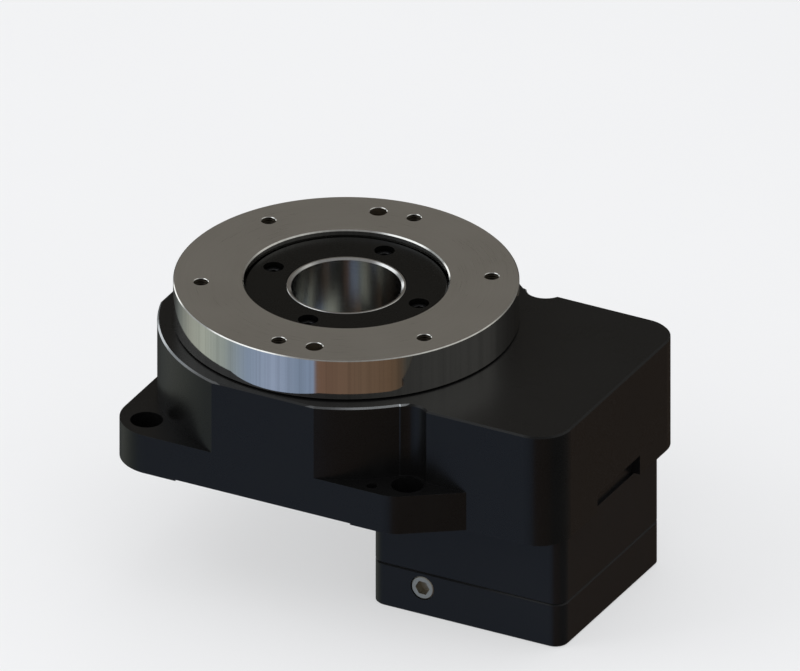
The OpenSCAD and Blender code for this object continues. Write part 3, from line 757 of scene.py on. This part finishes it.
def islands(name):
    """The lowest and highest corners of each separate solid in a node."""
    shape = bmesh.new()
    shape.from_mesh(nodes[name].data)
    bmesh.ops.remove_doubles(shape, verts=shape.verts, dist=WELD)
    waiting, found = set(shape.verts), []
    while waiting:
        front, points = [waiting.pop()], []
        while front:
            vertex = front.pop()
            points.append(vertex.co.copy())
            for edge in vertex.link_edges:
                other = edge.other_vert(vertex)
                if other in waiting:
                    waiting.remove(other)
                    front.append(other)
        low, high = (Vector(map(pick, zip(*points))) for pick in (min, max))
        found.append((low, high))
    shape.free()
    return sorted(found, key=lambda box: tuple(round(c, 6) for c in box[0]))


print("adapter body screws:", len(islands("adapter_body_screws")))

# %% Grow the screws
SOCKET_SHARE = 0.8  # of the thread's diameter, across the flats
LOW_SOCKET, FULL_SOCKET = 0.4, 0.55  # how deep, of the same, in a low head and in a full one
THREAD_SHARE = 0.375  # of the pitch
SCREWS = {
    # node: thread diameter and pitch in mm, head height over diameter, head points down
    "clamp_ring_screws": (3.0, 0.5, 0.65, False),
    "hub_screws": (4.0, 0.7, 1.0, True),
    "gear_screws": (4.0, 0.7, 1.0, True),
    "adapter_body_screws": (5.0, 0.8, 1.0, True),
    "adapter_plate_screws": (3.0, 0.5, 1.0, True),
}
for node_name, (diameter, pitch, stout, heads_down) in SCREWS.items():
    boxes = islands(node_name)
    thick, head_h = diameter * MM, stout * diameter * MM
    low, high = boxes[0]
    seats = [
        ((a.x + b.x) / 2, (a.y + b.y) / 2, a.z + head_h if heads_down else b.z - head_h)
        for a, b in boxes
    ]
    length = high.z - low.z - head_h
    grow(
        screw,
        node_name.replace("screws", "socket_screws"),
        seats,
        node_name,
        Head_radius=(high.x - low.x) / 2,
        Head_height=head_h,
        Shank_radius=thick / 2,
        Shank_length=length,
        Socket_width=SOCKET_SHARE * thick,
        Socket_depth=(LOW_SOCKET if stout < 1 else FULL_SOCKET) * thick,
        Thread_depth=THREAD_SHARE * pitch * MM,
        Turns=round(length / (pitch * MM)),
        Turned_over=math.pi if heads_down else 0.0,
    )
print("kinds of screw:", len(SCREWS))

# %% [markdown]
# ## The turned table
# The table is the main piece, and it follows a rule from end to end: an outline turned round
# the axis, then rings of holes drilled into it. The packed solid could just be dressed, but
# its holes are plain, and the load is seen to bolt into real threads. The node's box gives
# the outer sizes. What no box shows, such as the pocket for the bearing, is repeated here
# from the CAD source, with edges broken a little less, as they look on the real one.

# %% The table's sizes
TABLE = dict(
    Radius=(table_high.x - table_low.x) / 2,
    Top=table_high.z,
    Underside=table_low.z,
    Bore_radius=29.7 * MM,
    Pocket_radius=36.02 * MM,
    Pocket_top=42.3 * MM,
    Shoulder_radius=33.0 * MM,
    Relief=0.6 * MM,
    Edge=0.28 * MM,
    Foot_edge=0.2 * MM,
    Bore_edge=0.38 * MM,
    Circle=42.0 * MM,
    Sink=0.18 * MM,
    Load_hole_radius=2.1 * MM,
    Load_hole_depth=10.0 * MM,
    Load_thread=0.42 * MM,
    Dowel_radius=2.5 * MM,
    Dowel_depth=8.0 * MM,
    Drill_marks=0.07 * MM,
    Gear_circle=max(a.x + b.x for a, b in islands("gear_screws")) / 2,
    Gear_hole_radius=1.65 * MM,
    Gear_hole_depth=8.0 * MM,
    Gear_thread=0.35 * MM,
)
COUNTS = dict(Sides=240, Load_holes=6, Load_turns=12, Gear_holes=6, Gear_turns=11, Dowel_turns=9)
table = Recipe("turned_table", **COUNTS, **TABLE)
gear_circle_mm = round(TABLE["Gear_circle"] / MM, 2)
print("the table has", len(table.identifier), "sizes; its gear screws stand at", gear_circle_mm)

# %% The blank, before it is drilled


def table_outline(row, angle):
    """Up the bore, over the top, down the side, and in along the underside's pocket."""
    radius, top, underside = table["Radius"], table["Top"], table["Underside"]
    bore, bore_edge = table["Bore_radius"], table["Bore_edge"]
    edge, foot_edge = table["Edge"], table["Foot_edge"]
    pocket, shoulder, pocket_top = (
        table[label] for label in ("Pocket_radius", "Shoulder_radius", "Pocket_top")
    )
    relief_top = pocket_top + table["Relief"]
    rows = [
        (bore, relief_top),
        (bore, top - bore_edge),
        (bore + bore_edge, top),
        (radius - edge, top),
        (radius, top - edge),
        (radius, underside + foot_edge),
        (radius - foot_edge, underside),
        (pocket, underside),
        (pocket, pocket_top),
        (shoulder, pocket_top),
        (shoulder, relief_top),
        (bore, relief_top),
    ]
    return [table.choose(row, column) for column in zip(*rows)]


OUTLINE_ROWS = 12
blank = turned(table, OUTLINE_ROWS, table["Sides"], table_outline)
print("blank:", OUTLINE_ROWS, "rows of", COUNTS["Sides"], "points")

# %% [markdown]
# ## Cutters for the holes
# A tapped hole has a sunk rim, ridges down its wall and the cone that a drill leaves at the
# bottom; a dowel hole has the same form with faint marks instead of ridges. Both could be
# modelled into the blank, but the meshing round each hole is tedious. So the same turned
# skin makes a cutter, which sticks out a little above the face that it cuts.

# %% The cutters
CUT_OVER = 0.2 * MM
DRILL_POINT = 0.6  # height of the drill's cone over the hole's radius
HOLE_SIDES = 32


def hole_cutter(kind, turns, thread):
    """A cutter for a hole from z = 0 down, with as many ridges as turns."""
    radius, depth = table[kind + "_radius"], table[kind + "_depth"]
    turns, thread, sink = table[turns], table[thread], table["Sink"]
    last = turns * 2 + 3

    def outline(row, angle):
        first, rim, end = (row.math("COMPARE", n, 0.5) for n in (0.0, 1.0, last))
        wall = 1.0 - first - rim - end
        step = (depth - sink) / (turns * 2)
        wide = radius + sink + CUT_OVER
        ridged = radius + row.math("MODULO", 2.0) * thread
        height = (row - 2) * step * -1.0 - sink
        over, bottom = (first + rim) * CUT_OVER, end * (depth + radius * DRILL_POINT)
        return wall * ridged + rim * wide, wall * height + over - bottom

    return turned(table, last + 1, HOLE_SIDES, outline)


load_cutter = hole_cutter("Load_hole", "Load_turns", "Load_thread")
dowel_cutter = hole_cutter("Dowel", "Dowel_turns", "Drill_marks")
gear_cutter = hole_cutter("Gear_hole", "Gear_turns", "Gear_thread")
print("cutters for load, dowel and gear screw holes:", len(table.tree.nodes), "nodes so far")

# %% [markdown]
# ## Setting out and drilling
# Six load holes stand on one circle, half a step round from the X axis. Two dowel holes face
# each other on the same circle, and six holes for the gear's screws come up from below. Each
# place could be worked out with a sine and a cosine. A machinist sets out a pitch circle and
# steps round it instead, and a mesh circle with as many corners as holes does the same.

# %% Set out the holes
DOWEL_AT = math.radians(105)


def circle_of(count, radius):
    return table.add(
        "GeometryNodeMeshCircle", {"Vertices": table[count], "Radius": table[radius]}
    )


def on_level(level, points, start=0.0):
    """Points about the origin, lifted to a level of the table and turned by an angle."""
    lift = table.add("ShaderNodeCombineXYZ", {2: table[level]})
    turn = table.add("ShaderNodeCombineXYZ", {2: start})
    return table.add(
        "GeometryNodeTransform", {"Geometry": points, "Translation": lift, "Rotation": turn}
    )


half_step = math.pi / table["Load_holes"]
load_points = on_level("Top", circle_of("Load_holes", "Circle"), half_step)
gear_points = on_level("Underside", circle_of("Gear_holes", "Gear_circle"))
one_side = table.add("ShaderNodeCombineXYZ", {0: table["Circle"]})
to_the_other = table.add("ShaderNodeCombineXYZ", {0: table["Circle"] * -2.0})
pair = table.add(
    "GeometryNodeMeshLine", {"Count": 2, "Start Location": one_side, "Offset": to_the_other}
)
dowel_points = on_level("Top", pair, DOWEL_AT)
print("dowel holes at", round(math.degrees(DOWEL_AT)), "degrees and opposite")

# %% Drill the blank
drilled = blank
for points, cutter, lean in (
    (load_points, load_cutter, 0.0),
    (dowel_points, dowel_cutter, 0.0),
    (gear_points, gear_cutter, math.pi),
):
    cutters = table.add(
        "GeometryNodeRealizeInstances", {"Geometry": at_points(table, points, cutter, lean)}
    )
    drilled = table.add(
        "GeometryNodeMeshBoolean", {0: drilled, 1: cutters}, operation="DIFFERENCE"
    )
print("table recipe:", len(table.tree.nodes), "nodes")

# %% [markdown]
# ## Dark walls in the holes
# A drill leaves a rough wall that the grinding wheel never reaches, so it stays dark, and a
# reamer leaves the dowel holes brighter. The walls could be picked by hand, but the recipe
# finds them: they lie near a hole's centre, level with the top, and below the sunk rim.

# %% Choose the holes' walls and finish the table
WALL_REACH = 0.45 * MM  # past a hole's radius, so that the ridges are inside
here = table.add("GeometryNodeInputPosition")
level = here.node("ShaderNodeCombineXYZ", {0: here.part("X"), 1: here.part("Y"), 2: table["Top"]})
below = here.part("Z").math("LESS_THAN", table["Top"] - table["Sink"])
dressed = dress(table, drilled, table_steel)
for centres, radius, wall in (
    (load_points, "Load_hole_radius", drilled_steel),
    (dowel_points, "Dowel_radius", reamed_steel),
):
    away = table.add(
        "GeometryNodeProximity",
        {"Geometry": centres, "Sample Position": level},
        "Distance",
        target_element="POINTS",
    )
    near = away.math("LESS_THAN", table[radius] + WALL_REACH)
    dressed = dress(table, dressed, wall, chosen=near * below)
table.finish(dressed)
turned_table = grow(table, "turned_table", [(0, 0, 0)], "table", sharp=22.0, **TABLE)
print("its box in mm:", [in_mm(turned_table.bound_box[corner]) for corner in (0, 6)])
print("the solid's box:", [in_mm(corner) for corner in (table_low, table_high)])

# %% [markdown]
# ## The floor
# The part stands on a plain pale floor. Lamps strong enough to make it white would wash out
# the steel, so the floor glows a little instead, but only for rays that come from the camera,
# from a mirror or through glass. For all other light it is a plain matt surface, and it keeps
# the part's soft shadow.

# %% Lay the floor
CLEARANCE, HALF_FLOOR = 0.2 * MM, 6.0
floor_z = cad_box[0][2] - CLEARANCE
signs = ((-1, -1), (1, -1), (1, 1), (-1, 1))
corners = [(x * HALF_FLOOR, y * HALF_FLOOR, floor_z) for x, y in signs]
floor_mesh = bpy.data.meshes.new("floor")
floor_mesh.from_pydata(corners, [], [(0, 1, 2, 3)])
floor = bpy.data.objects.new("floor", floor_mesh)
bpy.context.scene.collection.objects.link(floor)
floor.visible_glossy = False
print("floor at z =", round(floor_z / MM, 2), "mm")

# %% Make the floor pale
GLOW, GLOW_SHARE = (0.88, 0.885, 0.89, 1), 0.6
pale, place, shader = new_finish("pale_floor", Specular_IOR_Level=0.1)
soft = place.noise(scale=9.0, detail=3.0)
tint = soft.mix(colour(232, 233, 235), colour(238, 239, 241))
feed(shader, Base_Color=tint, Roughness=soft * 0.1 + 0.7)
glow = place.node("ShaderNodeEmission", {"Color": GLOW, "Strength": 1.0})
from_camera, from_mirror, through = (
    place.node("ShaderNodeLightPath", out=f"Is {kind} Ray")
    for kind in ("Camera", "Glossy", "Transmission")
)
seen = from_camera.math("MAXIMUM", from_mirror).math("MAXIMUM", through)
cover = place.node("ShaderNodeMixShader", {0: seen * GLOW_SHARE, 2: glow})
links, end = pale.node_tree.links, pale.node_tree.nodes["Material Output"]
links.new(shader.outputs[0], cover.socket.node.inputs[1])
links.new(cover.socket, end.inputs["Surface"])
floor_mesh.materials.append(pale)
print("floor's own glow:", GLOW_SHARE)

# %% [markdown]
# ## The surroundings
# Black anodising and mirror steel show mostly what they reflect, so the surroundings matter
# more than the lamps. Cards could stand about the part, as in a studio, but they would hide
# it from other sides. The world's light comes from every direction and holds them instead: a
# cool bright side, a warm strip and a darker side. Upright faces reflect what is low, and
# level faces what is high, so there are two bands. Two soft patches at the left rear draw the
# bright lines on the chamfers. Rays that only light the part see a plain grey sky.

# %% The bands of light
# Each stop is a direction round the part in degrees, and the light that comes from it.
LOW_STOPS = [
    (-232, (0.047, 0.047, 0.045)),
    (-222, (0.07, 0.075, 0.072)),
    (-212, (0.156, 0.173, 0.166)),
    (-192, (0.35, 0.37, 0.33)),
    (-172, (0.44, 0.48, 0.43)),
    (-152, (0.333, 0.385, 0.377)),
    (-132, (0.273, 0.35, 0.481)),
    (-112, (0.345, 0.425, 0.60)),
    (-94, (0.23, 0.30, 0.43)),
    (-83.7, (0.26, 0.34, 0.50)),
    (-82.7, (0.185, 0.112, 0.08)),
    (-52, (0.159, 0.104, 0.071)),
    (-33, (0.136, 0.087, 0.056)),
    (-27, (0.11, 0.075, 0.05)),
    (-21, (0.055, 0.055, 0.05)),
    (12, (0.065, 0.065, 0.06)),
    (40, (0.10, 0.09, 0.08)),
    (62, (0.135, 0.096, 0.07)),
    (100, (0.04, 0.036, 0.03)),
    (128, (0.047, 0.047, 0.045)),
]
HIGH_STOPS = [
    (-232, (0.18, 0.165, 0.145)),
    (-222, (0.24, 0.24, 0.24)),
    (-210, (0.3, 0.31, 0.31)),
    (-190, (0.42, 0.44, 0.45)),
    (-165, (0.42, 0.45, 0.47)),
    (-132, (0.38, 0.41, 0.45)),
    (-92, (0.33, 0.33, 0.35)),
    (-62, (0.3, 0.3, 0.3)),
    (0, (0.6, 0.61, 0.6)),
    (50, (0.62, 0.62, 0.6)),
    (62, (0.27, 0.27, 0.26)),
    (86, (0.15, 0.14, 0.13)),
    (104, (0.141, 0.131, 0.115)),
    (124, (0.141, 0.131, 0.115)),
    (128, (0.18, 0.165, 0.145)),
]
print("surroundings:", len(LOW_STOPS) + len(HIGH_STOPS), "directions")

# %% The patches of light
# A patch is a soft step in and out in height, where 1 is straight up, then a soft step in
# and out in turns round the part from the first stop, and then its light.
LOW_PATCH = ((0.02, 0.08), (0.24, 0.32), (0.02, 0.05), (0.14, 0.18), (1.35, 1.38, 1.4, 1))
TALL_PATCH = ((0.50, 0.60), (0.84, 0.92), (0.03, 0.08), (0.28, 0.36), (1.35, 1.4, 1.45, 1))
print("the low patch ends at a height of", LOW_PATCH[1][1], "and the tall one at", TALL_PATCH[1][1])

# %% Build the world
OVERHEAD = (0.26, 0.26, 0.26, 1)
SKY_LOW, SKY_HIGH = (0.55, 0.55, 0.55, 1), (0.76, 0.76, 0.77, 1)
BACKDROP = (0.84, 0.85, 0.86, 1)
LOW_TO_HIGH, TO_OVERHEAD, SKY_RISE = (-0.10, 0.04), (0.78, 0.9), (-0.4, 0.6)


def make_world():
    world = bpy.data.worlds.new("studio")
    world.use_nodes = True
    tree = world.node_tree
    toward = Value(tree, tree.nodes.new("ShaderNodeTexCoord").outputs["Generated"])
    x, y, z = (toward.part(a) for a in "XYZ")
    start = -LOW_STOPS[0][0]
    turn = (y.math("ARCTAN2", x) / (2 * math.pi) + start / 360).math("FRACT")

    def band(stops):
        """The light of the stops, blended round the part."""
        places = [((at + start) / 360, light) for at, light in stops]
        return turn.node("ShaderNodeValToRGB", {0: turn}, stops=places)

    def with_patch(behind, low, high, left, right, light):
        upright = z.step(*low) * (1.0 - z.step(*high))
        around = turn.step(*left) * (1.0 - turn.step(*right))
        return (upright * around).mix(behind, light)

    mirrored = z.step(*LOW_TO_HIGH).mix(band(LOW_STOPS), band(HIGH_STOPS))
    mirrored = with_patch(mirrored, *LOW_PATCH)
    mirrored = with_patch(mirrored, *TALL_PATCH)
    mirrored = z.step(*TO_OVERHEAD).mix(mirrored, OVERHEAD)
    sky = z.step(*SKY_RISE).mix(SKY_LOW, SKY_HIGH)
    camera, glossy, through = (
        z.node("ShaderNodeLightPath", out=f"Is {kind} Ray")
        for kind in ("Camera", "Glossy", "Transmission")
    )
    shown = camera.math("MAXIMUM", through).mix(glossy.mix(sky, mirrored), BACKDROP)
    tree.links.new(shown.socket, tree.nodes["Background"].inputs["Color"])
    return world


bpy.context.scene.world = make_world()
print("world:", len(bpy.context.scene.world.node_tree.nodes), "nodes")

# %% [markdown]
# ## The lamps
# Three large soft lamps add the diffuse light and the floor's shadow: a key from the left
# front, a weaker fill from the right and one from above. A hard sun would do it with one
# lamp, but its shadow is sharp. They are hidden from reflections, which the world draws.

# %% Hang the lamps
LAMP_AIM = Vector((10 * MM, 0, 10 * MM))


def lamp(name, place, power, size):
    data = bpy.data.lights.new(name, "AREA")
    data.energy, data.size = power, size
    made = bpy.data.objects.new(name, data)
    made.location = place
    made.rotation_euler = (LAMP_AIM - made.location).to_track_quat("-Z", "Y").to_euler()
    made.visible_glossy = False
    bpy.context.scene.collection.objects.link(made)


lamp("key", (-0.75, -0.55, 0.9), 4.5, 0.8)
lamp("fill", (0.9, -0.7, 0.6), 1.5, 0.9)
lamp("top", (0.1, 0.3, 1.1), 3.0, 1.0)

# %% [markdown]
# ## The camera
# A long lens flattens perspective until parallel edges stay parallel, which is how a
# catalogue shows a machine part. An orthographic camera does exactly that. It looks down at
# about 28 degrees, from in front and a little to the right.

# %% Set up the camera
AZIMUTH, ELEVATION = math.radians(27.7), math.radians(28.4)
VIEW_WIDTH, DISTANCE = 230.88 * MM, 0.6
AIM_RIGHT, AIM_DOWN = 15.5 * MM, 16.34 * MM  # from the middle of the table's top
across = Vector((math.cos(AZIMUTH), math.sin(AZIMUTH), 0))
ahead = Vector((-math.sin(AZIMUTH), math.cos(AZIMUTH), 0))
up = ahead * math.sin(ELEVATION) + Vector((0, 0, math.cos(ELEVATION)))
back = across.cross(up)
aim = Vector((0, 0, table_high.z)) + across * AIM_RIGHT - up * AIM_DOWN
camera_data = bpy.data.cameras.new("camera")
camera_data.type = "ORTHO"
camera_data.ortho_scale = VIEW_WIDTH
camera = bpy.data.objects.new("camera", camera_data)
camera.matrix_world = Matrix((across, up, back)).transposed().to_4x4()
camera.location = aim + back * DISTANCE
bpy.context.scene.collection.objects.link(camera)
bpy.context.scene.camera = camera
print("camera at", [round(v, 3) for v in camera.location])

# %% [markdown]
# ## Closing
# Blender's usual view bends bright colours towards white, as film does. The plain view shows
# them as they are written, which suits a part whose finishes are to be compared.

# %% Set the plain view
bpy.context.scene.view_settings.view_transform = "Standard"
